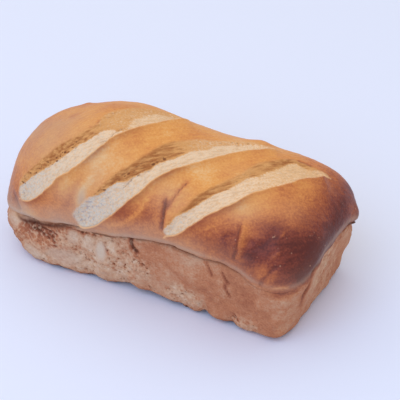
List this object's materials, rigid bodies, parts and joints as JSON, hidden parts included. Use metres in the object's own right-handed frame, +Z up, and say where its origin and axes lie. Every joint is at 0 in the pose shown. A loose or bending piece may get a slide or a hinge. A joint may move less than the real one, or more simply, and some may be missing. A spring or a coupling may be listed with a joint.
{
  "type": "tin loaf",
  "caption": "Oblong loaf with flared walls below a crease and a domed crust cut by slanting slashes, each with a raised lip, resting on a flat base.",
  "frame": {"origin": "under the middle of the loaf's bounding box, on the surface that it rests on", "axes": "+X along the loaf towards its squarer, darker end, +Y across it away from the slashes' lower ends, +Z up"},
  "size_m": [0.251, 0.123, 0.1111],
  "materials": {
    "crust": "baked crust, satin on the dome and dull on the wall"
  },
  "bodies": {
    "root": {"loaf": "crust"}
  },
  "joints": []
}
